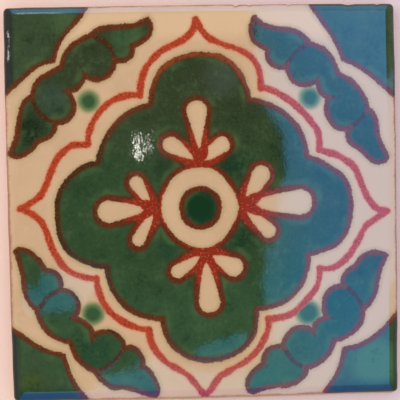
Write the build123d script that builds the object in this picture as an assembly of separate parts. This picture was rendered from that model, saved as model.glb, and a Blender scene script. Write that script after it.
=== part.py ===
from build123d import *
import os
from math import cos, radians, sin, tan

# Hand-painted talavera wall tile, one piece of fired clay glazed on its face. Millimetres.
# The origin is the centre of the bedding face. +Z is the way the glazed face looks, +Y is the
# top of the painted pattern and +X its right.

# Plan of the tile at its foot. It is cut by hand, so no two sides have quite the same length from
# corner to corner. The sides bow outwards a little, and the corners are barely rounded
back_length = 103.9
front_length = 102.3
left_length = 105.3
right_length = 104.5
side_bow = 0.25
corner_radius = 1.3

# Section of the sides. The knife leans, so each side slopes in above the arris by its own angle in
# degrees, and the front one leans the most
thickness = 6.5
draft_left = 2.0
draft_right = 2.0
draft_back = 2.5
draft_front = 13.0
arris = 0.4

# Rolled edge of the glazed face: a quarter ellipse, lower than it is wide, wider on some sides
roll_height = 1.7
roll_left = 3.2
roll_right = 2.7
roll_back = 1.9
roll_front = 2.4
roll_steps = 6

# Keys pressed into the back, which the bedding mortar fills. An even count leaves clay in the middle
key_count = 6
key_pitch = 14.0
key_width = 6.0
key_depth = 0.8
key_length = 81.0

roll_start = thickness - roll_height


def plan(height, chamfer=0.0, turn=0.0):
    """The tile's outline at a height. Each side is moved in by its lean, by a chamfer that is the
    same all round, and by its own rolled edge, which has turned so many degrees towards the face."""
    lean = max(min(height, roll_start) - arris, 0)
    rolled = 1 - cos(radians(turn))
    in_left = lean * tan(radians(draft_left)) + chamfer + roll_left * rolled
    in_right = lean * tan(radians(draft_right)) + chamfer + roll_right * rolled
    in_back = lean * tan(radians(draft_back)) + chamfer + roll_back * rolled
    in_front = lean * tan(radians(draft_front)) + chamfer + roll_front * rolled
    corners = [
        Vector(-front_length / 2 + in_left, -left_length / 2 + in_front),
        Vector(front_length / 2 - in_right, -right_length / 2 + in_front),
        Vector(back_length / 2 - in_right, right_length / 2 - in_back),
        Vector(-back_length / 2 + in_left, left_length / 2 - in_back),
    ]
    outwards = [Vector(0, -1), Vector(1, 0), Vector(0, 1), Vector(-1, 0)]
    sides = []
    for number, outward in enumerate(outwards):
        start, end = corners[number], corners[(number + 1) % 4]
        sides.append(ThreePointArc(start, (start + end) / 2 + outward * side_bow, end))
    face = make_face(sides)
    return Pos(0, 0, height) * fillet(face.vertices(), corner_radius)


def cut_clay():
    """The slab below the rolled edge: a broken arris at the foot, then four leaning sides."""
    return loft([plan(0, chamfer=arris), plan(arris), plan(roll_start)], ruled=True)


def rolled_face():
    """The glazed face and its rolled edge, lofted through plans taken round a quarter ellipse."""
    plans = []
    for step in range(roll_steps + 1):
        turn = 90 * step / roll_steps
        plans.append(plan(roll_start + roll_height * sin(radians(turn)), turn=turn))
    return loft(plans)


def keys():
    """The round-ended grooves in the back, side by side across it."""
    groove = SlotOverall(key_length, key_width, rotation=90)
    grooves = Sketch() + [place * groove for place in GridLocations(key_pitch, 0, key_count, 1)]
    return extrude(grooves, key_depth)


tile = cut_clay() + rolled_face() - keys()

os.makedirs("parts", exist_ok=True)
export_step(tile, "parts/tile.step")
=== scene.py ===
from math import acos, copysign, cos, exp, pi, radians, sin, sqrt, tan

import bmesh
import bpy
import numpy as np
from mathutils import Matrix, Vector, kdtree, noise


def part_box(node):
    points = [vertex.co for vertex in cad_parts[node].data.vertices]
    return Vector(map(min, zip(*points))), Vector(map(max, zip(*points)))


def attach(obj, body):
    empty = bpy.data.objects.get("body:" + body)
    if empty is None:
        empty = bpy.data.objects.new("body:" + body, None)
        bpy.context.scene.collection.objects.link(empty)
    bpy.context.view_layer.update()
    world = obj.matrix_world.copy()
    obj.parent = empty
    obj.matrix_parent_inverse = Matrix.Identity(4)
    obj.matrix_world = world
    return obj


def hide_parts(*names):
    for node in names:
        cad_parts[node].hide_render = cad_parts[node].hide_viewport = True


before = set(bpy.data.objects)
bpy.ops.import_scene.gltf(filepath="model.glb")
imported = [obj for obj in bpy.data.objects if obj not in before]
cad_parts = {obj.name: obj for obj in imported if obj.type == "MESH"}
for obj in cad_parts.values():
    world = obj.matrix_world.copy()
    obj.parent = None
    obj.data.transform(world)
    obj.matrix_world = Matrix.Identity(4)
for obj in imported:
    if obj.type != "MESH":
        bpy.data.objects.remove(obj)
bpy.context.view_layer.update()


# The tile is one slab of earthenware, cut by hand with a leaning knife and rolled over at its upper
# edge. A cream tin glaze covers the face and runs over the roll, brick-red lines are drawn on it
# with a liner brush, and green glaze is flooded between them. Sides and keyed back are bare clay.

# Sizes in millimetres. The plan and the section are the cut clay's, as in the frame
mm = 0.001
low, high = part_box("tile")
thickness = (high.z - low.z) / mm
back_length = 103.9
front_length = 102.3
left_length = 105.3
right_length = 104.5
side_bow = 0.25
corner_radius = 1.3
draft_left = 2.0
draft_right = 2.0
draft_back = 2.5
draft_front = 13.0
arris = 0.4
roll_height = 1.7
roll_left = 3.2
roll_right = 2.7
roll_back = 1.9
roll_front = 2.4
roll_start = thickness - roll_height
key_count = 6
key_pitch = 14.0
key_width = 6.0
key_depth = 0.8
key_length = 81.0

# The painter works on a square of this half width, which the tile's glazed face stretches to fit
half_square = 52.5

# Meshing: squares along each side of the face, and rows over the rolled edge
face_cells = 288
roll_rows = 9

# Hand work: how far the cut edge wanders inwards, and nicks in its far side as (x, depth, half width)
edge_wander = 0.22
wander_depth = 3.0
wander_length = 6.25
back_nicks = [(9.9, 0.45, 0.9), (13.4, 0.25, 0.6), (24.1, 0.3, 0.8), (40.3, 0.3, 2.0), (48.1, 0.25, 0.8)]

# Relief of the glaze: how far its face lies below the CAD's, how far a line and a pool of green stand
# above the cream, how wide their slopes are, and the slow swell of the whole face
glaze_sink = 0.1
line_lift = 0.006
line_slope = 0.6
pool_lift = 0.012
pool_slope = 2.2
undulation = 0.008
undulation_length = 18.0


def plan_corners(height, chamfer=0.0):
    """The tile's four corners at a height, from front left round to back left."""
    lean = max(min(height, roll_start) - arris, 0)
    in_left = lean * tan(radians(draft_left)) + chamfer
    in_right = lean * tan(radians(draft_right)) + chamfer
    in_back = lean * tan(radians(draft_back)) + chamfer
    in_front = lean * tan(radians(draft_front)) + chamfer
    return [
        Vector((-front_length / 2 + in_left, -left_length / 2 + in_front)),
        Vector((front_length / 2 - in_right, -right_length / 2 + in_front)),
        Vector((back_length / 2 - in_right, right_length / 2 - in_back)),
        Vector((-back_length / 2 + in_left, left_length / 2 - in_back)),
    ]


def place(drawn, height, corners):
    """Where a point of the painter's square lies on the cut tile, in metres."""
    left_front, right_front, right_back, left_back = corners
    right, up = drawn.x / half_square, drawn.y / half_square
    front = left_front.lerp(right_front, (right + 1) / 2)
    back = left_back.lerp(right_back, (right + 1) / 2)
    spot = front.lerp(back, (up + 1) / 2)
    spot.x += side_bow * right**3 * (1 - up**2)
    spot.y += side_bow * up**3 * (1 - right**2)
    depth = half_square - max(abs(drawn.x), abs(drawn.y))
    if depth < wander_depth:
        at_edge = 1 - depth / wander_depth
        wander = edge_wander * (0.5 + 0.5 * noise.noise(Vector((drawn.x, drawn.y, 0)) / wander_length))
        if drawn.y > half_square - wander_depth:
            for x, nick, reach in back_nicks:
                wander += nick * max(1 - abs(drawn.x - x) / reach, 0)
        spot *= 1 - wander * at_edge / half_square
    return Vector((spot.x, spot.y, height)) * mm


def face_rows(roll_low, roll_high):
    """Where the rows of the face lie between two opposite edges: even steps of turn over each
    rolled edge, and even steps of length on the flat between them."""
    turns = [pi / 2 * row / roll_rows for row in range(roll_rows)]
    first = [-half_square + roll_low * (1 - cos(turn)) for turn in turns]
    last = [half_square - roll_high * (1 - cos(turn)) for turn in reversed(turns)]
    flat = np.linspace(-half_square + roll_low, half_square - roll_high, face_cells + 1 - 2 * roll_rows)
    return first + list(flat) + last


def over_the_roll(x, y):
    """Rounds the square's corners, ring by ring, and gives how far the rolled edge has turned there
    towards the face, from 0 at the cut edge to a quarter turn on the flat."""
    wide_x = roll_right if x > 0 else roll_left
    wide_y = roll_back if y > 0 else roll_front
    from_x, from_y = half_square - abs(x), half_square - abs(y)
    turn_x = acos(1 - min(from_x / wide_x, 1))
    turn_y = acos(1 - min(from_y / wide_y, 1))
    turn = min(turn_x, turn_y)
    ring_x, ring_y = wide_x * (1 - cos(turn)), wide_y * (1 - cos(turn))
    reach = corner_radius * sqrt(max(1 - turn / (pi / 2), 0))
    along_x, along_y = from_x - ring_x, from_y - ring_y
    if turn < pi / 2 - 0.001 and max(along_x, along_y) < reach:
        swing = pi / 4 * (1 - max(along_x, along_y) / reach)
        near, far = reach * (1 - cos(swing)), reach * (1 - sin(swing))
        if along_x > along_y:
            from_x, from_y = ring_x + far, ring_y + near
        else:
            from_x, from_y = ring_x + near, ring_y + far
        x, y = copysign(half_square - from_x, x), copysign(half_square - from_y, y)
    return Vector((x, y, 0)), turn


# The drawing, in millimetres from the middle of the square, x to the right and y up. A stroke is a
# list of runs, each a smooth curve through a few points from one cusp to the next
medallion = [
    [(-13.8, 26.4), (-13.4, 29.0), (-12.9, 31.4), (-11.2, 35.1), (-7.5, 38.0), (-3.5, 39.4), (0.0, 39.7),
     (5.3, 38.9), (9.8, 35.4), (12.1, 30.8), (12.9, 27.3)],
    [(12.9, 27.3), (16.8, 26.6), (21.6, 24.2), (24.3, 21.8), (26.2, 19.4), (28.0, 15.0), (28.2, 12.0)],
    [(28.2, 12.0), (32.2, 10.4), (36.8, 7.4), (38.7, 5.4), (39.7, 3.0), (40.2, -1.5), (39.3, -7.3),
     (38.1, -9.6), (35.8, -12.0), (31.0, -13.9), (28.1, -14.5)],
    [(28.1, -14.5), (28.2, -17.5), (26.3, -22.7), (22.4, -26.7), (18.0, -28.4), (14.0, -29.0)],
    [(14.0, -29.0), (13.6, -34.2), (12.5, -36.8), (10.4, -39.2), (7.9, -40.9), (5.0, -42.1), (0.5, -42.6),
     (-3.0, -42.2), (-6.0, -41.0), (-9.8, -37.5), (-11.4, -33.3), (-11.7, -31.0)],
    [(-11.7, -31.0), (-16.5, -30.3), (-21.0, -28.0), (-24.6, -23.8), (-26.2, -19.6), (-26.3, -16.8)],
    [(-26.3, -16.8), (-30.8, -15.9), (-35.7, -13.3), (-38.6, -9.1), (-39.5, -2.8), (-38.8, 3.2),
     (-36.2, 7.0), (-32.2, 10.1), (-28.1, 11.2)],
    [(-28.1, 11.2), (-27.3, 14.7), (-24.8, 19.6), (-21.0, 23.4), (-17.0, 25.7), (-13.8, 26.4)],
]
ogee = [
    [(-1.1, 48.8), (-2.0, 46.2), (-4.1, 43.9), (-7.4, 42.2), (-10.5, 40.7), (-12.8, 38.6), (-14.8, 36.1),
     (-15.9, 33.3), (-16.3, 31.5), (-16.5, 28.9)],
    [(-16.5, 28.9), (-21.3, 28.7), (-26.0, 26.2), (-29.3, 21.9), (-30.5, 18.8), (-30.7, 16.0)],
    [(-30.7, 16.0), (-33.2, 16.1), (-35.4, 15.8), (-39.0, 12.5), (-41.2, 8.0), (-42.3, 5.4), (-43.7, 2.9),
     (-46.0, 1.1), (-49.3, -0.7)],
    [(-49.3, -0.7), (-45.2, -2.9), (-43.6, -4.6), (-42.5, -7.1), (-40.6, -12.3), (-37.2, -17.3),
     (-32.3, -19.4), (-29.3, -19.7)],
    [(-29.3, -19.7), (-29.0, -22.5), (-28.0, -25.5), (-25.4, -29.3), (-20.3, -32.7), (-15.4, -33.9)],
    [(-15.4, -33.9), (-14.5, -38.3), (-10.9, -42.9), (-7.6, -44.9), (-5.6, -46.2), (-2.4, -49.8),
     (-0.6, -52.5)],
    [(-0.6, -52.5), (1.6, -49.8), (3.6, -47.2), (5.7, -45.9), (10.2, -43.5), (12.8, -41.5), (15.0, -38.9),
     (16.9, -34.8), (17.1, -31.7)],
    [(17.1, -31.7), (19.9, -31.5), (22.8, -30.8), (24.9, -29.5), (27.4, -27.1), (30.3, -23.6),
     (31.2, -21.0), (31.3, -18.2)],
    [(31.3, -18.2), (35.0, -18.2), (38.7, -15.8), (41.6, -11.7), (44.3, -7.1), (47.0, -5.1), (50.1, -3.2)],
    [(50.1, -3.2), (47.0, -2.2), (44.9, 0.4), (42.8, 5.2), (41.7, 8.0), (40.0, 10.0), (36.0, 12.3),
     (31.7, 13.5)],
    [(31.7, 13.5), (31.4, 18.3), (29.7, 21.1), (26.0, 25.2), (21.4, 28.6), (18.5, 30.0), (16.0, 30.5)],
    [(16.0, 30.5), (15.7, 35.2), (13.2, 39.0), (9.9, 40.9), (5.7, 42.3), (2.4, 43.9), (0.2, 46.2),
     (-1.1, 48.8)],
]
# Each corner's filled quarter: its line runs over the edge at both ends, and the fill closes outside
corner_fills = [
    [[(-28.9, 55.0), (-30.3, 52.5), (-31.6, 50.5), (-33.6, 48.0), (-36.6, 44.8), (-38.2, 42.2),
      (-39.4, 38.3)],
     [(-39.4, 38.3), (-44.0, 36.9), (-48.2, 33.5), (-52.5, 29.6), (-55.0, 27.4)]],
    [[(28.2, 55.0), (29.7, 52.5), (31.3, 50.2), (34.3, 46.0), (36.1, 43.2), (37.4, 40.5), (38.4, 37.8)],
     [(38.4, 37.8), (43.4, 35.4), (47.5, 32.2), (50.2, 29.8), (52.5, 27.8), (55.0, 25.6)]],
    [[(-55.0, -30.8), (-52.5, -32.7), (-49.0, -35.3), (-46.8, -36.9), (-43.8, -38.6), (-38.6, -40.3)],
     [(-38.6, -40.3), (-37.9, -42.6), (-37.0, -45.5), (-36.0, -47.8), (-34.7, -49.8), (-32.4, -52.5),
      (-30.2, -55.0)]],
    [[(55.0, -28.1), (52.5, -30.8), (50.8, -32.7), (48.6, -35.0), (46.3, -37.1), (44.0, -38.5),
      (41.2, -39.6), (37.8, -40.3)],
     [(37.8, -40.3), (37.5, -42.0), (36.8, -44.5), (35.8, -46.8), (34.4, -49.0), (32.0, -52.5),
      (30.3, -55.0)]],
]
# Each scroll sprig between two corners of the ogee: its outline, the two lines across its stem, and
# the hooks where its bud meets its leaves
left_back_sprig = [
    [(-14.0, 49.2), (-17.0, 47.8), (-20.0, 47.3), (-25.0, 47.0), (-27.6, 46.4), (-29.3, 45.0)],
    [(-29.3, 45.0), (-32.7, 43.5), (-35.4, 41.4), (-36.8, 39.4), (-37.3, 37.0)],
    [(-37.3, 37.0), (-40.3, 35.4), (-43.1, 33.8), (-44.7, 31.7), (-45.3, 29.3)],
    [(-45.3, 29.3), (-47.4, 27.7), (-48.7, 25.0), (-49.3, 21.3), (-49.9, 18.0), (-51.7, 13.9)],
    [(-51.7, 13.9), (-50.2, 13.3), (-48.2, 13.6), (-45.7, 15.1), (-44.2, 17.1)],
    [(-44.2, 17.1), (-41.9, 17.7), (-40.0, 19.1), (-39.4, 20.6), (-39.4, 22.1)],
    [(-39.4, 22.1), (-37.2, 22.2), (-35.3, 23.5), (-34.2, 26.0), (-34.5, 28.4), (-35.7, 30.3)],
    [(-35.7, 30.3), (-33.5, 30.8), (-31.9, 32.5), (-31.0, 34.3)],
    [(-31.0, 34.3), (-29.4, 33.5), (-27.3, 33.3), (-25.0, 34.3), (-23.5, 36.3), (-23.1, 38.4)],
    [(-23.1, 38.4), (-21.3, 38.1), (-19.4, 38.7), (-18.3, 40.3), (-18.4, 42.0)],
    [(-18.4, 42.0), (-15.9, 43.1), (-13.7, 44.9), (-13.1, 46.9), (-14.0, 49.2)],
]
right_back_sprig = [
    [(14.8, 49.2), (16.5, 47.5), (20.7, 46.2), (24.3, 45.8), (26.6, 45.0), (28.2, 43.8), (29.4, 42.3)],
    [(29.4, 42.3), (31.3, 41.5), (33.3, 40.5), (35.2, 38.5), (36.4, 36.3), (37.1, 34.0)],
    [(37.1, 34.0), (39.2, 32.9), (41.3, 31.4), (43.6, 28.5), (44.7, 26.4), (45.1, 24.6)],
    [(45.1, 24.6), (46.5, 23.0), (47.3, 21.0), (47.6, 18.0), (48.8, 14.6), (50.3, 12.0)],
    [(50.3, 12.0), (49.9, 10.7), (48.2, 10.1), (46.4, 10.4), (44.3, 12.2), (42.3, 14.2)],
    [(42.3, 14.2), (40.2, 15.6), (39.4, 17.6), (39.8, 19.3)],
    [(39.8, 19.3), (38.0, 19.2), (36.3, 19.7), (34.5, 21.9), (33.8, 24.5), (34.2, 27.6)],
    [(34.2, 27.6), (32.6, 28.7), (31.7, 30.2), (31.4, 31.9)],
    [(31.4, 31.9), (29.8, 31.4), (28.0, 31.1), (25.2, 31.8), (23.8, 33.7), (23.1, 36.0)],
    [(23.1, 36.0), (21.3, 35.8), (19.5, 36.5), (18.3, 38.0), (18.0, 39.5), (18.0, 40.6)],
    [(18.0, 40.6), (16.2, 41.7), (14.5, 42.8), (13.6, 44.8), (13.6, 46.8), (14.8, 49.2)],
]
left_front_sprig = [
    [(-51.0, -12.0), (-50.2, -14.5), (-49.2, -18.5), (-48.9, -21.5), (-48.5, -23.8), (-47.4, -26.0),
     (-45.8, -27.6)],
    [(-45.8, -27.6), (-45.2, -29.5), (-44.4, -31.6), (-42.2, -34.5), (-39.5, -36.1), (-37.0, -36.7)],
    [(-37.0, -36.7), (-36.4, -38.3), (-35.6, -40.4), (-33.2, -43.1), (-31.5, -44.3), (-30.1, -45.0)],
    [(-30.1, -45.0), (-29.3, -46.4), (-28.1, -47.7), (-25.5, -49.3), (-23.0, -49.4), (-20.7, -49.8),
     (-17.0, -51.1), (-13.9, -52.1)],
    [(-13.9, -52.1), (-13.2, -50.2), (-14.2, -47.2), (-16.0, -44.8), (-17.6, -43.8)],
    [(-17.6, -43.8), (-17.2, -42.0), (-18.6, -39.4), (-20.5, -38.5), (-22.1, -38.8)],
    [(-22.1, -38.8), (-22.4, -37.2), (-23.4, -35.8), (-26.0, -34.1), (-28.9, -34.2), (-30.7, -35.4)],
    [(-30.7, -35.4), (-31.3, -33.0), (-33.2, -31.3), (-35.5, -30.3)],
    [(-35.5, -30.3), (-34.6, -28.6), (-34.4, -26.8), (-34.8, -25.1), (-36.2, -23.4), (-38.8, -22.4)],
    [(-38.8, -22.4), (-38.9, -20.8), (-39.3, -19.2), (-40.6, -17.8), (-42.9, -17.1)],
    [(-42.9, -17.1), (-44.7, -14.5), (-47.0, -12.3), (-49.6, -11.4), (-51.0, -12.0)],
]
right_front_sprig = [
    [(49.8, -15.1), (48.3, -18.3), (47.3, -21.9), (46.6, -25.3), (45.1, -28.0), (43.2, -29.5)],
    [(43.2, -29.5), (43.0, -31.5), (42.4, -33.3), (40.0, -36.0), (37.6, -37.4), (35.1, -38.0)],
    [(35.1, -38.0), (34.5, -39.8), (33.7, -41.4), (31.1, -43.8), (29.3, -44.8), (27.5, -45.3)],
    [(27.5, -45.3), (27.1, -46.9), (25.6, -48.5), (23.8, -49.5), (21.3, -50.0), (18.2, -50.2),
     (15.7, -50.7), (13.0, -51.6)],
    [(13.0, -51.6), (11.4, -50.9), (11.1, -49.0), (11.6, -47.5), (13.0, -45.8), (15.5, -44.0)],
    [(15.5, -44.0), (15.9, -42.0), (17.0, -40.1), (19.0, -39.2), (21.1, -39.3)],
    [(21.1, -39.3), (21.3, -37.9), (22.2, -36.3), (24.3, -34.5), (27.3, -34.3), (29.3, -35.3)],
    [(29.3, -35.3), (30.0, -33.5), (31.2, -32.3), (32.9, -31.8)],
    [(32.9, -31.8), (32.4, -29.3), (32.6, -26.3), (34.5, -24.0), (37.8, -23.1)],
    [(37.8, -23.1), (37.8, -20.9), (39.0, -19.2), (41.0, -18.1)],
    [(41.0, -18.1), (43.3, -15.3), (46.0, -14.2), (48.6, -14.6), (49.8, -15.1)],
]
dividers = [
    [(-29.3, 45.0), (-26.2, 43.5), (-24.1, 41.4), (-23.1, 38.4)],
    [(-45.3, 29.3), (-44.4, 26.0), (-42.3, 23.5), (-39.4, 22.1)],
    [(29.4, 42.2), (26.8, 40.8), (24.6, 38.5), (23.1, 36.1)],
    [(45.1, 24.6), (43.7, 22.4), (41.9, 20.7), (39.8, 19.4)],
    [(-45.8, -27.6), (-44.2, -26.6), (-42.6, -24.4), (-38.8, -22.5)],
    [(-30.1, -44.9), (-27.0, -43.8), (-24.5, -41.6), (-22.3, -38.9)],
    [(43.2, -29.4), (42.0, -27.2), (40.1, -24.8), (37.8, -23.2)],
    [(27.5, -45.3), (24.3, -43.8), (22.6, -41.7), (21.1, -39.3)],
]
hooks = [
    [(-35.7, 30.3), (-37.2, 30.6)], [(-31.0, 34.3), (-31.7, 35.5)],
    [(34.2, 27.6), (36.3, 27.8)], [(31.4, 31.9), (31.7, 33.0)],
    [(-35.5, -30.3), (-36.8, -30.2)], [(-30.7, -35.4), (-31.0, -37.2)],
    [(29.3, -35.3), (29.9, -36.9)], [(32.9, -31.8), (35.0, -31.9)],
]
# The eye: a filled dot in a cream ring, each with its line, and round it four groups of three petals
# left in cream. A petal is its tip, the middle of its round end, its half width there, and how
# straight its sides are, from 0.5 for a full petal to 1 for a plain wedge
eye_ring = [(-1.4, 10.1), (1.9, 9.9), (6.0, 7.2), (8.3, 4.1), (10.0, 0.4), (10.1, -2.2), (8.9, -5.6),
            (6.2, -9.6), (2.6, -12.3), (-0.8, -12.8), (-4.2, -12.0), (-7.9, -9.7), (-10.5, -6.3),
            (-11.8, -3.3), (-11.9, 1.2), (-10.6, 4.1), (-8.5, 7.2), (-5.3, 9.3), (-1.4, 10.1)]
eye_dot = [(-0.8, 4.0), (2.9, 2.5), (4.5, -1.3), (2.9, -5.1), (-0.8, -6.7), (-4.5, -5.1), (-6.0, -1.2),
           (-4.6, 2.5), (-0.8, 4.0)]
petals = [
    ((-0.7, 13.3), (-1.35, 24.6), 2.75, 1.1), ((-2.3, 11.8), (-8.5, 15.7), 2.2, 0.65),
    ((0.5, 11.9), (5.25, 15.5), 2.2, 0.4),
    ((-15.3, -1.4), (-25.6, -1.9), 3.0, 0.7), ((-14.5, -0.1), (-18.0, 5.65), 1.85, 0.6),
    ((-14.1, -3.1), (-17.75, -9.6), 1.72, 0.4),
    ((13.3, -0.5), (26.2, -0.3), 3.4, 0.55), ((12.1, 0.9), (15.75, 7.3), 2.45, 0.48),
    ((12.1, -2.5), (17.6, -7.8), 1.95, 0.4),
    ((0.4, -16.2), (1.15, -26.8), 2.85, 0.6), ((-1.5, -14.6), (-7.25, -18.3), 1.85, 0.45),
    ((2.3, -14.4), (8.0, -17.5), 2.5, 0.65),
]
petal_line = 1.3
petal_tip_line = 2.2
# Soft dabs of green outside the ogee's shoulders, as (x, y, radius)
dabs = [(-30.3, 27.6, 2.45), (29.4, 27.7, 2.5), (-30.5, -29.3, 2.6), (28.1, -30.3, 3.0)]

# The brush: half widths of its lines, how much its pressure varies and how quickly along the way, and
# the length of one step of it
medallion_line = 0.66
ogee_line = 0.88
sprig_line = 0.64
divider_line = 0.65
corner_line = 0.55
hook_line = 0.6
hook_end = 0.25
ring_line = 0.66
dot_line = 0.6
pressure = 0.28
pressure_pace = 0.35
brush_step = 0.2


def smooth_run(points):
    """A smooth curve through a few points, as points a brush step apart (centripetal Catmull-Rom)."""
    given = [Vector(point) for point in points]
    if len(given) == 2:
        given.insert(1, given[0].lerp(given[1], 0.5))
    if given[0] == given[-1]:
        given = [given[-2], *given, given[1]]
    else:
        before = given[0] * 3 - given[1] * 3 + given[2]
        after = given[-1] * 3 - given[-2] * 3 + given[-3]
        given = [before, *given, after]
    run = []
    for a, b, c, d in zip(given, given[1:], given[2:], given[3:]):
        knot_b = sqrt((b - a).length)
        knot_c = knot_b + sqrt((c - b).length)
        knot_d = knot_c + sqrt((d - c).length)
        steps = max(round((c - b).length / brush_step), 1)
        for step in range(steps):
            knot = knot_b + (knot_c - knot_b) * step / steps
            ab = a.lerp(b, knot / knot_b)
            bc = b.lerp(c, (knot - knot_b) / (knot_c - knot_b))
            cd = c.lerp(d, (knot - knot_c) / (knot_d - knot_c))
            run.append(ab.lerp(bc, knot / knot_c).lerp(bc.lerp(cd, (knot - knot_b) / (knot_d - knot_b)),
                                                      (knot - knot_b) / (knot_c - knot_b)))
    return run + [given[-2]]


# Every line as dabs of the loaded brush: where each is, and the half width it leaves
brush_marks = []


def draw(run, half_width, end_width=None):
    """Draws one run with the brush. The line may narrow to another half width at its end."""
    marks = smooth_run(run)
    for number, mark in enumerate(marks):
        along = number / max(len(marks) - 1, 1)
        width = half_width + ((end_width or half_width) - half_width) * along
        swell = 1 + pressure * noise.noise(Vector((mark.x, mark.y, 7)) * pressure_pace)
        brush_marks.append((mark, width * swell))
    return marks


well_outside = 60
fill_outlines = [[mark for run in medallion for mark in draw(run, medallion_line)]]
for run in ogee:
    draw(run, ogee_line)
for sprig in [left_back_sprig, right_back_sprig, left_front_sprig, right_front_sprig]:
    fill_outlines.append([mark for run in sprig for mark in draw(run, sprig_line)])
for corner in corner_fills:
    outline = [mark for run in corner for mark in draw(run, corner_line)]
    beyond = Vector((copysign(well_outside, outline[0].x), copysign(well_outside, outline[0].y)))
    fill_outlines.append(outline + [beyond])
for run in dividers:
    draw(run, divider_line)
for run in hooks:
    draw(run, hook_line, hook_end)
ring_outline = draw(eye_ring, ring_line)
dot_outline = draw(eye_dot, dot_line)


def nearest_finder(points):
    """A finder of the nearest of many points in the plane."""
    finder = kdtree.KDTree(len(points))
    for number, point in enumerate(points):
        finder.insert((point.x, point.y, 0), number)
    finder.balance()
    return finder


def inside(outline, x, y):
    """Which of many places lie inside a closed outline, by the even-odd rule."""
    odd = np.zeros(len(x), bool)
    for start, end in zip(outline, outline[1:] + outline[:1]):
        if start.y != end.y:
            crosses = (start.y > y) != (end.y > y)
            odd ^= crosses & (x < start.x + (y - start.y) * (end.x - start.x) / (end.y - start.y))
    return odd


brush_finder = nearest_finder([mark for mark, width in brush_marks])
fill_finder = nearest_finder([mark for outline in fill_outlines for mark in outline])
ring_finder = nearest_finder(ring_outline)
dot_finder = nearest_finder(dot_outline)
marks_weighed = 4
far_off = 99.0
petal_steps = 40


def distances(finder, x, y):
    """How far many places are from the nearest point of a finder."""
    return np.array([finder.find((px, py, 0))[2] for px, py in zip(x, y)])


def painted(x, y):
    """The drawing at many places, as distances in millimetres below zero inside: to the edge of the
    nearest line, to the edge of the green, and to the rim of the nearest dab."""
    line = np.empty(len(x))
    for number, (px, py) in enumerate(zip(x, y)):
        marks = brush_finder.find_n((px, py, 0), marks_weighed)
        line[number] = min(distance - brush_marks[mark][1] for _, mark, distance in marks)

    green = distances(fill_finder, x, y)
    filled = np.zeros(len(x), bool)
    for outline in fill_outlines:
        filled |= inside(outline, x, y)
    green[filled] *= -1

    ring = distances(ring_finder, x, y)
    ring[inside(ring_outline, x, y)] *= -1
    green = np.maximum(green, -ring)
    dot = distances(dot_finder, x, y)
    dot[inside(dot_outline, x, y)] *= -1
    green = np.minimum(green, dot)

    for tip, end, radius, straightness in petals:
        petal = np.full(len(x), far_off)
        petal_border = np.full(len(x), far_off)
        green_border = np.full(len(x), far_off)
        for step in range(petal_steps + 1):
            along = step / petal_steps
            middle_x = tip[0] + (end[0] - tip[0]) * along
            middle_y = tip[1] + (end[1] - tip[1]) * along
            away = np.hypot(x - middle_x, y - middle_y) - radius * along**straightness
            border = petal_line + (petal_tip_line - petal_line) * (1 - along) ** 1.5
            petal = np.minimum(petal, away)
            petal_border = np.minimum(petal_border, away - border)
            green_border = np.minimum(green_border, away - border * (1 - 0.5 * along))
        line = np.minimum(line, np.maximum(petal_border, -petal))
        green = np.maximum(green, -green_border)

    dab = np.full(len(x), far_off)
    for middle_x, middle_y, radius in dabs:
        dab = np.minimum(dab, np.hypot(x - middle_x, y - middle_y) - radius)
    return line, green, dab


# The face starts as one square sheet. Each corner of its mesh keeps its place on the painter's square
# and its place on the sheet, and is then laid over the clay
shape = bmesh.new()
drawn_layer = shape.verts.layers.float_vector.new("drawn")
sheet_layer = shape.verts.layers.float_vector.new("sheet")
line_layer = shape.verts.layers.float.new("line")
green_layer = shape.verts.layers.float.new("green")
dab_layer = shape.verts.layers.float.new("dab")
bake_layer = shape.loops.layers.uv.new("OFBake")
bmesh.ops.create_grid(shape, x_segments=face_cells, y_segments=face_cells, size=half_square)

columns = face_rows(roll_left, roll_right)
rows = face_rows(roll_front, roll_back)
face_corners = plan_corners(roll_start)
turns = []
for vert in shape.verts:
    column = round((vert.co.x / half_square + 1) / 2 * face_cells)
    row = round((vert.co.y / half_square + 1) / 2 * face_cells)
    vert[sheet_layer] = (column / face_cells, row / face_cells, 1)
    drawn, turn = over_the_roll(columns[column], rows[row])
    vert[drawn_layer] = drawn
    turns.append(turn)

# The drawing was measured on a photo straightened to a square. So each point of the face is carried
# along the camera's line of sight to the plane of the cut edge, and from the edge's four corners there
# to the square's. The viewpoint is in millimetres
viewpoint = Vector((-8.0, 3.0, 339.4))
heights = roll_start + (roll_height - glaze_sink) * np.sin(turns)
laid = np.array([place(vert[drawn_layer], roll_start, face_corners) / mm for vert in shape.verts])
nearer = (viewpoint.z - roll_start) / (viewpoint.z - heights)
seen_x = viewpoint.x + (laid[:, 0] - viewpoint.x) * nearer
seen_y = viewpoint.y + (laid[:, 1] - viewpoint.y) * nearer
shares, answers = [], []
for corner, (right, up) in zip(face_corners, [(-1, -1), (1, -1), (1, 1), (-1, 1)]):
    x, y = right * half_square, up * half_square
    shares.append([corner.x, corner.y, 1, 0, 0, 0, -corner.x * x, -corner.y * x])
    shares.append([0, 0, 0, corner.x, corner.y, 1, -corner.x * y, -corner.y * y])
    answers += [x, y]
a, b, c, d, e, f, g, h = np.linalg.solve(shares, answers)
squeeze = g * seen_x + h * seen_y + 1
square_x = (a * seen_x + b * seen_y + c) / squeeze
square_y = (d * seen_x + e * seen_y + f) / squeeze
line_fields, green_fields, dab_fields = painted(square_x, square_y)

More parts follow.
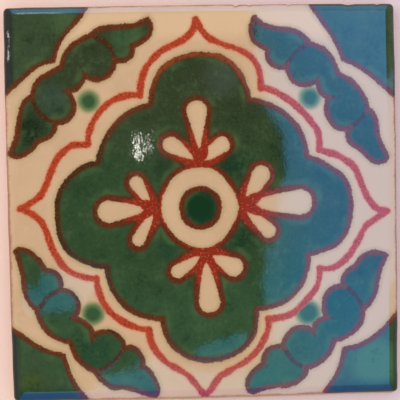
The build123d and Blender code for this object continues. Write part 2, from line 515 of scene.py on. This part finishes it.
for number, vert in enumerate(shape.verts):
    line, green = line_fields[number], green_fields[number]
    vert[line_layer] = line
    vert[green_layer] = green
    vert[dab_layer] = dab_fields[number]
    ridge = line_lift * max(min(-line / line_slope, 1), 0)
    pool = pool_lift * (1 - exp(min(green, 0) / pool_slope))
    drawn = vert[drawn_layer]
    swell = undulation * noise.noise(Vector((drawn.x, drawn.y, 3)) / undulation_length)
    height = heights[number] + (ridge + pool + swell) * sin(turns[number]) ** 2
    vert.co = place(drawn, height, face_corners)

# Its edge is drawn down over the cut sides and round the broken arris at their foot, row by row as
# (height, how far the arris is cut in). The glaze ends on the way, so the upper rows are closer
side_rows = [(4.4, 0.0), (4.0, 0.0), (3.2, 0.0), (2.2, 0.0), (1.2, 0.0), (arris, 0.0),
             (0.16, 0.09), (0.04, 0.24), (0.0, arris)]
rim = [edge for edge in shape.edges if edge.is_boundary]
for height, chamfer in side_rows:
    drawn_down = bmesh.ops.extrude_edge_only(shape, edges=rim)["geom"]
    rim = [part for part in drawn_down if isinstance(part, bmesh.types.BMEdge)]
    corners = plan_corners(height, chamfer)
    for vert in [part for part in drawn_down if isinstance(part, bmesh.types.BMVert)]:
        sheet = vert[sheet_layer]
        vert[sheet_layer] = (sheet.x, sheet.y, height / roll_start)
        vert.co = place(vert[drawn_layer], height, corners)

# Six keys are pressed into the back, each a round-ended groove with a worn lip, in rings of (how far
# outside the key's wall, depth). Their floors are filled first, then the back round them
key_segments = 24
key_rings = [(0.25, 0.0), (0.08, 0.05), (0.0, 0.22), (-0.08, key_depth - 0.2), (-0.3, key_depth)]


def press_key(verts, middle, outset, depth):
    """Spreads a ring of unit directions into a key's round-ended outline at a depth in the back."""
    reach = key_width / 2 + outset
    straight = (key_length - key_width) / 2
    for vert in verts:
        way = vert[drawn_layer]
        vert.co = Vector((middle + way.x * reach, way.y * reach + copysign(straight, way.y), depth)) * mm


back_edges = list(rim)
for key in range(key_count):
    middle = (key - (key_count - 1) / 2) * key_pitch
    verts = bmesh.ops.create_circle(shape, segments=key_segments, radius=1.0)["verts"]
    half_segment = Matrix.Rotation(pi / key_segments, 3, "Z")
    bmesh.ops.rotate(shape, verts=verts, cent=(0, 0, 0), matrix=half_segment)
    for vert in verts:
        vert[drawn_layer] = vert.co
    ring = list({edge for vert in verts for edge in vert.link_edges})
    back_edges += ring
    press_key(verts, middle, *key_rings[0])
    for outset, depth in key_rings[1:]:
        pressed = bmesh.ops.extrude_edge_only(shape, edges=ring)["geom"]
        ring = [part for part in pressed if isinstance(part, bmesh.types.BMEdge)]
        verts = [part for part in pressed if isinstance(part, bmesh.types.BMVert)]
        press_key(verts, middle, outset, depth)
    bmesh.ops.triangle_fill(shape, use_beauty=True, normal=(0, 0, -1), edges=ring)
bmesh.ops.triangle_fill(shape, use_beauty=True, normal=(0, 0, -1), edges=back_edges)
bmesh.ops.recalc_face_normals(shape, faces=shape.faces)

# One map for the bake: the face as its flat sheet, the four sides as strips below it, and the back
map_margin = 0.005
face_share = 0.8
face_foot = 0.195
strip_pitch = 0.043
strip_width = 0.0366
back_middle = 0.9
back_share = 0.0017
for face in shape.faces:
    face.smooth = True
    sheets = [loop.vert[sheet_layer] for loop in face.loops]
    on_face = all(sheet.z == 1 for sheet in sheets)
    on_back = all(sheet.z == 0 for sheet in sheets)
    if not on_face and not on_back:
        ends = [all(sheet.y == 0 for sheet in sheets), all(sheet.x == 1 for sheet in sheets),
                all(sheet.y == 1 for sheet in sheets), all(sheet.x == 0 for sheet in sheets)]
        side = ends.index(True)
    for loop, sheet in zip(face.loops, sheets):
        if on_face:
            spot = (map_margin + face_share * sheet.x, face_foot + face_share * sheet.y)
        elif on_back:
            spot = [back_middle + share / mm * back_share for share in loop.vert.co.xy]
        else:
            along = sheet.x if side in (0, 2) else sheet.y
            strip_foot = map_margin + strip_pitch * side
            spot = (map_margin + face_share * along, strip_foot + strip_width * sheet.z)
        loop[bake_layer].uv = spot

hard_edge = radians(32)
for edge in shape.edges:
    edge.smooth = edge.calc_face_angle(0) < hard_edge

for finished in ["sheet", "drawn"]:
    shape.verts.layers.float_vector.remove(shape.verts.layers.float_vector[finished])


def set_down(made, name):
    """Turns a finished bmesh into an object of that name, and gives the object."""
    mesh = bpy.data.meshes.new(name)
    made.to_mesh(mesh)
    made.free()
    piece = bpy.data.objects.new(name, mesh)
    bpy.context.collection.objects.link(piece)
    return piece


painted_tile = set_down(shape, "painted_tile")

# The finish: bare clay, cream glaze, brick-red line and flooded green on one material. It is mixed by
# the three distances that the drawing left on the mesh, with edges as ragged as a brush leaves them
finish = bpy.data.materials.new("glazed_clay")
finish.use_nodes = True
finish.node_tree.nodes.clear()


def wire(tree, kind, inputs=None, **settings):
    """Adds a node, sets it up, and fills or joins its inputs by name or number. Gives the node."""
    node = tree.nodes.new(kind)
    for name, value in settings.items():
        setattr(node, name, value)
    for name, value in (inputs or {}).items():
        if isinstance(value, bpy.types.NodeSocket):
            tree.links.new(value, node.inputs[name])
        else:
            node.inputs[name].default_value = value
    return node


def paint(red, green, blue):
    """A colour as the eye reads it, 0 to 255, made linear."""
    shares = [value / 255 for value in (red, green, blue)]
    return (*[share / 12.92 if share < 0.04 else ((share + 0.055) / 1.055) ** 2.4 for share in shares], 1)


def count(how, *values):
    """One step of arithmetic, such as ADD or MULTIPLY."""
    return wire(finish.node_tree, "ShaderNodeMath", dict(enumerate(values)), operation=how).outputs[0]


def fade(value, start, end, low=0.0, high=1.0):
    """Goes smoothly from low to high as a value goes from start to end."""
    sockets = {"Value": value, "From Min": start, "From Max": end, "To Min": low, "To Max": high}
    return wire(finish.node_tree, "ShaderNodeMapRange", sockets, interpolation_type="SMOOTHSTEP").outputs[0]


def lay(under, over, how_much):
    """Lays one colour over another."""
    sockets = {0: how_much, 6: under, 7: over}
    return wire(finish.node_tree, "ShaderNodeMix", sockets, data_type="RGBA").outputs[2]


def both(one, other):
    """Where two shares hold at once."""
    return count("MULTIPLY", one, other)


def kept(name):
    """A distance that the drawing left on the mesh, in millimetres."""
    return wire(finish.node_tree, "ShaderNodeAttribute", attribute_name=name).outputs["Fac"]


object_place = wire(finish.node_tree, "ShaderNodeTexCoord").outputs["Object"]
place_mm = wire(finish.node_tree, "ShaderNodeVectorMath", {0: object_place, "Scale": 1000.0},
                operation="SCALE").outputs["Vector"]
x_mm, y_mm, z_mm = wire(finish.node_tree, "ShaderNodeSeparateXYZ", {0: place_mm}).outputs
face_height = 6.4


def away_from(x, y):
    """How far a place is from a point of the glazed face, in millimetres."""
    return wire(finish.node_tree, "ShaderNodeVectorMath", {0: place_mm, 1: (x, y, face_height)},
                operation="DISTANCE").outputs["Value"]


def cloud(size, seed, detail=2.0, strength=1.0):
    """Noise in patches so many millimetres wide, from about minus to plus half its strength."""
    sockets = {"Vector": place_mm, "W": seed, "Scale": 1 / size, "Detail": detail}
    noise_node = wire(finish.node_tree, "ShaderNodeTexNoise", sockets, noise_dimensions="4D")
    return count("MULTIPLY_ADD", noise_node.outputs[0], strength, -strength / 2)


line = kept("line")
green = kept("green")
dab = kept("dab")
grain = cloud(0.38, 2.0, detail=1.0, strength=0.7)
wobble = count("ADD", cloud(3.0, 1.0, strength=0.4), cloud(1.0, 20.0, strength=0.5))
ragged_line = count("ADD", line, count("ADD", wobble, grain))
ragged_green = count("ADD", green, count("ADD", cloud(1.8, 3.0, strength=0.9), grain))
ragged_dab = count("ADD", dab, cloud(1.6, 4.0, strength=0.6))
on_green = fade(ragged_green, 0.3, -0.3)
soft_edge = count("MULTIPLY_ADD", on_green, 0.3, 0.17)
on_line = fade(ragged_line, soft_edge, count("MULTIPLY", soft_edge, -1.0))
from_eye = away_from(-0.85, -1.25)
beside_eye = away_from(6.0, 0.0)
# Towards the right the glaze colours shift: partly the glaze's own tone, partly painted reflection of the
# blue window it mirrors
rightwards_tone_and_sheen = fade(x_mm, 8.0, 24.0)

# Cream tin glaze, faintly cloudy, with a warm halo where a line has bled and an olive one by the green
cream = lay(paint(210, 174, 138), paint(202, 167, 130), fade(cloud(9.0, 5.0), -0.25, 0.25))
cream = lay(cream, paint(214, 172, 144), fade(cloud(1.1, 6.0), 0.05, 0.3))
# Partly painted reflection: the cream turns bluer to the right, under the mirrored window
cream = lay(cream, paint(203, 174, 146), rightwards_tone_and_sheen)
at_top = both(fade(y_mm, 41.0, 46.0), fade(y_mm, 51.5, 49.5, high=0.75))
cream = lay(cream, paint(222, 186, 148), at_top)
near_green = fade(ragged_green, 2.4, 1.2)
warm = both(fade(ragged_line, 0.7, 0.0), count("MULTIPLY_ADD", near_green, -0.35, 0.6))
ground = lay(cream, paint(212, 128, 92), warm)
ground = lay(ground, paint(158, 148, 96), fade(ragged_green, 2.0, 0.6, high=0.4))

# Green glaze in uneven pools: clouded, deeper round the eye, duller at the top, and lighter where
# it runs thin in the tile's corners. Single pools are given as (x, y, reach, colour)
green_pools = [
    (45.0, -43.0, 9.5, (72, 112, 70)), (-45.5, 20.0, 6.0, (20, 36, 16)), (-19.5, 44.0, 6.0, (58, 86, 52)),
    (-39.0, 28.0, 6.0, (56, 74, 58)), (-29.0, -39.0, 6.0, (34, 68, 44)), (-10.0, -12.5, 4.0, (36, 66, 44)),
    (-46.0, -47.0, 5.0, (64, 82, 40)), (-36.0, 48.0, 5.0, (66, 86, 52)), (30.0, -24.0, 19.0, (32, 67, 42)),
    (-9.5, 9.5, 4.5, (38, 56, 36)), (6.0, 33.0, 7.0, (62, 72, 58)), (16.0, -46.0, 6.0, (46, 84, 56)),
]
leaf = lay(paint(46, 71, 42), paint(50, 60, 36), fade(y_mm, 2.0, 30.0))
# Partly painted reflection: the green shifts to the right, under the mirrored window
leaf = lay(leaf, paint(46, 64, 36), rightwards_tone_and_sheen)
leaf = lay(leaf, paint(50, 78, 49), fade(y_mm, -14.0, -30.0))
leaf = lay(leaf, paint(58, 76, 50), fade(from_eye, 50.0, 64.0, high=0.8))
leaf = lay(leaf, paint(24, 52, 32), fade(beside_eye, 17.0, 10.0, high=0.9))
for x, y, reach, pool in green_pools:
    leaf = lay(leaf, paint(*pool), fade(away_from(x, y), reach, reach / 3, high=0.85))
cloudy = count("ADD", cloud(4.5, 9.0, detail=4.0), cloud(1.1, 10.0, strength=0.6))
leaf = lay(leaf, paint(78, 98, 66), fade(cloudy, 0.0, 0.35, high=0.5))
leaf = lay(leaf, paint(28, 46, 26), fade(cloudy, 0.0, -0.3, high=0.6))
thin_rim = both(fade(ragged_green, -3.0, -1.3, high=0.45), fade(cloud(7.0, 22.0), -0.05, 0.15))
leaf = lay(leaf, paint(80, 106, 62), thin_rim)
leaf = lay(leaf, paint(76, 100, 64), fade(cloud(0.45, 23.0, detail=1.0), 0.0, 0.3, high=0.3))

# Painted shade on the rolled edge at the left, the front and the lower right: the dark it mirrors. The dot
# is a dark green of its own
leaf = lay(leaf, paint(33, 34, 38), fade(x_mm, -48.4, -50.2, high=0.85))
lower_right_roll_shade = both(fade(x_mm, 48.8, 50.2, high=0.8), fade(y_mm, 0.0, -20.0))
leaf = lay(leaf, paint(38, 52, 30), lower_right_roll_shade)
leaf = lay(leaf, paint(24, 46, 40), fade(y_mm, -46.5, -50.4, high=0.7))
leaf = lay(leaf, paint(16, 52, 28), fade(from_eye, 4.4, 2.6))

# The drawn line: grainy brick red where it stands alone and among the petals, brown where green glaze
# has run against it, and a brown stain under the edge of the green. The medallion's rim is darkest on
# its left and redder at its top
red = lay(paint(184, 73, 42), paint(173, 61, 31), fade(ragged_line, 0.0, -0.6))
red = lay(red, paint(137, 37, 16), fade(from_eye, 22.0, 17.0, high=0.85))
red = lay(red, paint(124, 34, 17), fade(cloud(0.6, 7.0), 0.0, 0.2, high=0.7))
red = lay(red, paint(208, 122, 88), fade(cloud(0.5, 8.0, detail=0.0), 0.1, 0.26, high=0.4))
brown = lay(paint(108, 53, 24), paint(92, 46, 20), fade(ragged_green, 0.5, -0.1))
brown = lay(brown, paint(98, 38, 16), fade(from_eye, 28.0, 24.0, high=0.7))
round_rim = both(fade(from_eye, 27.0, 29.0), fade(from_eye, 42.6, 41.6))
darker = both(fade(x_mm, -14.0, -30.0), fade(y_mm, 24.0, 14.0))
darker = both(darker, fade(from_eye, 41.0, 40.0))
brown = lay(brown, paint(64, 43, 17), both(darker, round_rim))
redder_top = fade(y_mm, 28.0, 36.0, high=0.9)
brown = lay(brown, paint(136, 64, 33), both(redder_top, round_rim))
brown = lay(brown, paint(126, 56, 28), fade(x_mm, 10.0, 20.0, high=0.5))
brown = lay(brown, paint(66, 40, 18), fade(ragged_green, -0.9, -1.6))
brown = lay(brown, paint(48, 28, 14), fade(cloud(0.6, 11.0), 0.0, 0.28, high=0.8))
brown = lay(brown, paint(146, 78, 46), fade(cloud(0.5, 21.0), 0.03, 0.28, high=0.7))
redder = fade(ragged_green, 0.8, 1.3)
for petals_meet in [(-0.5, 12.0), (-13.6, -1.0), (12.0, -0.8), (0.2, -14.6)]:
    in_star = both(fade(away_from(*petals_meet), 9.0, 4.5), fade(ragged_green, -0.2, 0.4))
    redder = count("MAXIMUM", redder, in_star)
brushed = lay(brown, red, redder)
leaf = lay(leaf, paint(86, 45, 21), fade(ragged_green, -1.45, -0.1))

# The dabs melt into the cream with a soft rim. Green and lines then go over the whole ground
part_dab = fade(ragged_dab, 1.4, -0.2)
full_dab = fade(ragged_dab, 0.4, -1.3)
glazed = lay(lay(ground, paint(118, 132, 84), part_dab), paint(54, 84, 52), full_dab)
glazed = lay(glazed, leaf, on_green)
glazed = lay(glazed, brushed, on_line)

# Bare clay: buff, with darker grog and a paler scum, streaked where the knife has cut it
streaked = wire(finish.node_tree, "ShaderNodeMapping", {"Vector": place_mm, "Scale": (0.25, 0.25, 2.5)})
streaks = wire(finish.node_tree, "ShaderNodeTexNoise", {"Vector": streaked.outputs[0], "Scale": 1.0,
                                                        "Detail": 3.0}).outputs[0]
clay = lay(paint(186, 152, 122), paint(205, 178, 148), fade(cloud(4.0, 12.0, detail=4.0), -0.2, 0.2))
clay = lay(clay, paint(160, 122, 94), fade(streaks, 0.5, 0.7, high=0.5))
clay = lay(clay, paint(138, 96, 72), fade(cloud(0.7, 13.0, detail=1.0), 0.22, 0.3))
end_of_glaze = count("ADD", z_mm, count("ADD", cloud(5.0, 14.0, strength=0.9), grain))
bare = fade(end_of_glaze, 4.85, 4.65)
covered = count("SUBTRACT", 1.0, bare)
thin_glaze = lay(paint(150, 88, 66), paint(30, 36, 20), on_green)
glazed = lay(glazed, thin_glaze, fade(end_of_glaze, 6.0, 5.5, high=0.8))

# Glaze is glassy, the drawn line drier, and the clay dull and pitted. The glaze has an orange peel,
# deeper to the upper left of the eye, where the lamp shows in it
glass_roughness = 0.035
line_roughness = 0.1
clay_roughness = 0.88
gloss = fade(on_line, 0.0, 1.0, glass_roughness, line_roughness)
gloss = count("ADD", gloss, cloud(3.0, 15.0, strength=0.01))
dullness = count("ADD", both(gloss, covered), count("MULTIPLY", bare, clay_roughness))
peel_depth = fade(away_from(-15.5, 15.0), 9.0, 5.0, low=0.0026, high=0.0048)
slow_waves = cloud(5.0, 17.0, strength=0.01)
orange_peel = count("MULTIPLY_ADD", cloud(0.7, 16.0, detail=0.0), peel_depth, slow_waves)
drawn_grain = both(on_line, cloud(0.4, 18.0, strength=0.012))
clay_face = count("ADD", cloud(0.5, 19.0, detail=4.0, strength=0.25), count("MULTIPLY", streaks, 0.2))
glaze_face = count("ADD", orange_peel, drawn_grain)
relief = count("ADD", both(glaze_face, covered), both(clay_face, bare))
bump = wire(finish.node_tree, "ShaderNodeBump", {"Height": relief, "Distance": mm, "Strength": 1.0})
fired = wire(finish.node_tree, "ShaderNodeBsdfPrincipled", {
    "Base Color": lay(glazed, clay, bare), "Roughness": dullness, "Normal": bump.outputs[0], "IOR": 1.5,
    "Specular IOR Level": fade(on_line, 0.0, 1.0, 0.5, 0.42)})
wire(finish.node_tree, "ShaderNodeOutputMaterial", {"Surface": fired.outputs[0]})
painted_tile.data.materials.append(finish)

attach(painted_tile, "root")
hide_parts("tile")


# A plain pale floor of matt plaster, level with the tile's foot. It carries painted light: brighter and
# warmer on the left of the tile than on its right, as if lit from the left
floor_reach = 3.0
light_fall_reach = 0.06
lit_left_tint = paint(247, 215, 201)
shaded_right_tint = paint(227, 207, 216)
floor_shape = bmesh.new()
bmesh.ops.create_grid(floor_shape, x_segments=1, y_segments=1, size=floor_reach)
floor = set_down(floor_shape, "floor")
plaster = bpy.data.materials.new("plaster")
plaster.use_nodes = True
plaster_face = plaster.node_tree.nodes["Principled BSDF"]
plaster_face.inputs["Roughness"].default_value = 0.9
plaster_face.inputs["Specular IOR Level"].default_value = 0.1
floor_place = wire(plaster.node_tree, "ShaderNodeTexCoord").outputs["Object"]
floor_parts = wire(plaster.node_tree, "ShaderNodeSeparateXYZ", {0: floor_place}).outputs
across = wire(plaster.node_tree, "ShaderNodeMapRange", {
    "Value": floor_parts["X"], "From Min": -light_fall_reach, "From Max": light_fall_reach}).outputs[0]
light_fall_tint = wire(plaster.node_tree, "ShaderNodeMix", {0: across, 6: lit_left_tint, 7: shaded_right_tint},
            data_type="RGBA").outputs[2]
plaster.node_tree.links.new(light_fall_tint, plaster_face.inputs["Base Color"])
floor.data.materials.append(plaster)


# Soft even light from all round. What the glaze mirrors is kept apart from it: the plain backdrop low
# down, a dim room above it, a dark ceiling straight above, behind the camera, and the sky in narrow
# windows beyond the tile's far and near sides and to its right, which only its rolled edge turns towards
studio = bpy.data.worlds.new("studio")
bpy.context.scene.world = studio
studio.use_nodes = True
studio.node_tree.nodes.clear()
even_light = 0.9
backdrop = paint(228, 200, 193)
dim_room = (0.4, 0.36, 0.36, 1)
dark_ceiling = (0.08, 0.08, 0.08, 1)
ceiling_rim = cos(radians(42))
ceiling_middle = cos(radians(24))
far_sky = (0.6, 2.0, 4.6, 1)
near_sky = (0.1, 0.6, 3.1, 1)
right_sky = (0.8, 1.6, 3.4, 1)
left_lamp_glow = (26.0, 25.0, 23.0, 1)
far_lamp_glow = (12.0, 12.0, 11.0, 1)


def in_studio(kind, inputs=None, **settings):
    """A node of the studio's surroundings."""
    return wire(studio.node_tree, kind, inputs, **settings)


def turned_towards(value, start, end):
    """Goes smoothly from 0 to 1 as one part of the direction goes from start to end."""
    sockets = {"Value": value, "From Min": start, "From Max": end}
    return in_studio("ShaderNodeMapRange", sockets, interpolation_type="SMOOTHSTEP").outputs[0]


def mirrored(under, over, how_much):
    """Lays one mirrored colour over another."""
    return in_studio("ShaderNodeMix", {0: how_much, 6: under, 7: over}, data_type="RGBA").outputs[2]


def weigh(how, *values):
    """One step of arithmetic in the studio's surroundings."""
    return in_studio("ShaderNodeMath", dict(enumerate(values)), operation=how).outputs[0]


def all_of(first, *others):
    """Where several shares hold at once."""
    for other in others:
        first = weigh("MULTIPLY", first, other)
    return first


rays = in_studio("ShaderNodeLightPath").outputs
way = in_studio("ShaderNodeTexCoord").outputs["Generated"]
way_parts = in_studio("ShaderNodeSeparateXYZ", {0: way}).outputs
rightward, ahead, upward = way_parts["X"], way_parts["Y"], way_parts["Z"]
room = mirrored(backdrop, dim_room, turned_towards(upward, 0.05, 0.3))
room = mirrored(room, dark_ceiling, turned_towards(upward, ceiling_rim, ceiling_middle))
high_enough = turned_towards(upward, 0.14, 0.24)
narrow = all_of(turned_towards(weigh("ABSOLUTE", rightward), 0.34, 0.26), high_enough)
slit = all_of(turned_towards(weigh("ABSOLUTE", ahead), 0.09, 0.075), high_enough)
room = mirrored(room, far_sky, all_of(turned_towards(ahead, 0.2, 0.26), narrow))
room = mirrored(room, near_sky, all_of(turned_towards(ahead, -0.2, -0.26), narrow))
room = mirrored(room, right_sky, all_of(turned_towards(rightward, 0.2, 0.26), slit))

# Two small lamps that the rolled edge shows near its far left corner, broken up along it
along_left = in_studio("ShaderNodeTexNoise", {"W": weigh("MULTIPLY", ahead, 260.0)}, noise_dimensions="1D")
wavy = weigh("MULTIPLY_ADD", along_left.outputs[0], 0.8, rightward)
left_lamp = all_of(turned_towards(wavy, -0.27, -0.3), turned_towards(wavy, -0.41, -0.38),
                   turned_towards(ahead, 0.114, 0.116), turned_towards(ahead, 0.122, 0.12))
room = mirrored(room, left_lamp_glow, left_lamp)
along_far = in_studio("ShaderNodeTexNoise", {"W": weigh("MULTIPLY", rightward, 420.0)},
                      noise_dimensions="1D")
broken = turned_towards(along_far.outputs[0], 0.5, 0.62)
far_lamp = all_of(turned_towards(ahead, 0.18, 0.2), turned_towards(ahead, 0.5, 0.4), broken,
                  turned_towards(rightward, -0.08, -0.09), turned_towards(rightward, -0.128, -0.12))
room = mirrored(room, far_lamp_glow, far_lamp)

# The glaze sees the room, the camera the backdrop, and everything else the even light
lit = mirrored((even_light, even_light, even_light, 1), room, rays["Is Glossy Ray"])
seen = mirrored(lit, backdrop, rays["Is Camera Ray"])
sky = in_studio("ShaderNodeBackground", {"Color": seen, "Strength": 1.0})
in_studio("ShaderNodeOutputWorld", {"Surface": sky.outputs[0]})

# One soft lamp high up at the far left, for a gentle shadow at the near right
softbox = bpy.data.lights.new("softbox", "AREA")
softbox.shape = "SQUARE"
softbox.size = 0.5
softbox.energy = 0.85
softbox_stand = bpy.data.objects.new("softbox", softbox)
softbox_stand.location = (-0.34, 0.17, 0.58)
softbox_stand.rotation_euler = (-softbox_stand.location).to_track_quat("-Z", "Y").to_euler()
softbox_stand.visible_glossy = False
bpy.context.collection.objects.link(softbox_stand)

# The window and the lamp that the camera sees in the glaze. A card at the camera's height shows at a
# point of the face when it stands twice as far from the camera, so its outline is given as it shows on
# the face, in millimetres
window_outline = [
    (12.4, 62.0), (12.8, 52.5), (12.6, 44.0), (13.3, 39.2), (14.9, 31.5), (16.1, 27.0), (18.0, 22.3),
    (19.5, 19.8), (20.7, 17.0), (20.6, 6.4), (18.1, -4.0), (17.3, -10.0), (15.0, -12.3), (15.6, -15.0),
    (13.9, -21.0), (14.8, -27.5), (17.0, -33.0), (13.8, -41.2), (12.0, -42.6), (2.0, -43.4),
    (-7.0, -42.4), (-12.0, -38.6), (-15.5, -39.5), (-19.0, -42.6), (-28.0, -44.5), (-31.0, -49.5),
    (-62.0, -49.5), (-62.0, -64.0), (66.0, -64.0), (66.0, 62.0)]
window_patches = [
    [(-4.0, -40.2), (-0.4, -36.9), (6.0, -35.2), (12.2, -34.2), (12.9, -37.3), (9.6, -40.3), (4.2, -42.1),
     (-2.5, -41.8)],
    [(-50.3, -18.0), (-47.0, -21.6), (-44.4, -21.4), (-42.4, -16.4), (-36.5, -15.8), (-30.5, -17.0),
     (-27.4, -17.6), (-27.6, -23.0), (-31.0, -26.0), (-35.0, -29.2), (-39.5, -28.4), (-43.8, -29.4),
     (-47.2, -28.5), (-50.2, -24.4)],
]
lamp_outlines = [
    [(-17.3, 18.4), (-16.9, 18.6), (-16.5, 14.6), (-16.2, 11.4), (-16.6, 11.3), (-17.1, 14.2)],
    [(-14.0, 17.6), (-13.8, 17.5), (-13.2, 13.8), (-13.4, 13.6)],
]


def hang_card(name, outlines, soft_edge_mm, left_glow, right_glow, far_glow):
    """Hangs glowing cards that only reflections show, at the camera's height. Their glow changes from
    the left of the tile's reflection to its right, and again to its far right corner, and it fades
    out over a soft edge."""
    card_shape = bmesh.new()
    glow_layer = card_shape.verts.layers.float.new("glow")
    for outline in outlines:
        corners = [(2 * x - viewpoint.x, 2 * y - viewpoint.y, viewpoint.z) for x, y in outline]
        card_shape.faces.new([card_shape.verts.new(Vector(corner) * mm) for corner in corners])
    bmesh.ops.recalc_face_normals(card_shape, faces=card_shape.faces)
    if soft_edge_mm:
        bmesh.ops.inset_region(card_shape, faces=card_shape.faces, thickness=soft_edge_mm * mm,
                               use_boundary=True)
    for vert in card_shape.verts:
        vert[glow_layer] = 0 if soft_edge_mm and vert.is_boundary else 1
    bmesh.ops.triangulate(card_shape, faces=card_shape.faces)
    card = set_down(card_shape, name)
    glow = bpy.data.materials.new(name)
    glow.use_nodes = True
    glow.node_tree.nodes.clear()
    hung = wire(glow.node_tree, "ShaderNodeTexCoord").outputs["Object"]
    rightness = wire(glow.node_tree, "ShaderNodeVectorMath", {0: hung, 1: (1.0, 0.12, 0.0)},
                     operation="DOT_PRODUCT").outputs["Value"]
    farness = wire(glow.node_tree, "ShaderNodeVectorMath", {0: hung, 1: (0.7, 0.7, 0.0)},
                   operation="DOT_PRODUCT").outputs["Value"]
    colour = left_glow
    changes = [(rightness, 0.03, 0.08, right_glow), (farness, 0.08, 0.13, far_glow)]
    for way_along, start, end, over in changes:
        share = wire(glow.node_tree, "ShaderNodeMapRange", {
            "Value": way_along, "From Min": start, "From Max": end}, interpolation_type="SMOOTHSTEP")
        colour = wire(glow.node_tree, "ShaderNodeMix", {0: share.outputs[0], 6: colour, 7: over},
                      data_type="RGBA").outputs[2]
    fullness = wire(glow.node_tree, "ShaderNodeAttribute", attribute_name="glow").outputs["Fac"]
    light = wire(glow.node_tree, "ShaderNodeEmission", {"Color": colour, "Strength": fullness})
    wire(glow.node_tree, "ShaderNodeOutputMaterial", {"Surface": light.outputs[0]})
    card.data.materials.append(glow)
    for unseen_by in ["camera", "diffuse", "transmission", "volume_scatter", "shadow"]:
        setattr(card, "visible_" + unseen_by, False)


hang_card("window", [window_outline], 5.0, (0.33, 1.8, 2.9, 1), (0.26, 1.8, 4.4, 1), (0.45, 2.4, 5.6, 1))
patch_glow = (0.15, 1.4, 2.3, 1)
hang_card("window_patches", window_patches, 2.6, patch_glow, patch_glow, patch_glow)
lamp_glow = (54, 52, 46, 1)
hang_card("lamp", lamp_outlines, 0.0, lamp_glow, lamp_glow, lamp_glow)


# The camera looks straight down on the tile from a little left of its middle, and is turned slightly,
# as a hand holds it. Its view is 18 degrees wide
half_view = radians(9)
held_at = [radians(turn) for turn in (-0.358, -1.257, -1.080)]
camera_data = bpy.data.cameras.new("camera")
camera_data.sensor_width = 36
camera_data.lens = camera_data.sensor_width / 2 / tan(half_view)
camera_data.clip_start = 0.01
camera = bpy.data.objects.new("camera", camera_data)
camera.location = viewpoint * mm
camera.rotation_euler = held_at
bpy.context.collection.objects.link(camera)
bpy.context.scene.camera = camera
bpy.context.scene.view_settings.view_transform = "Standard"
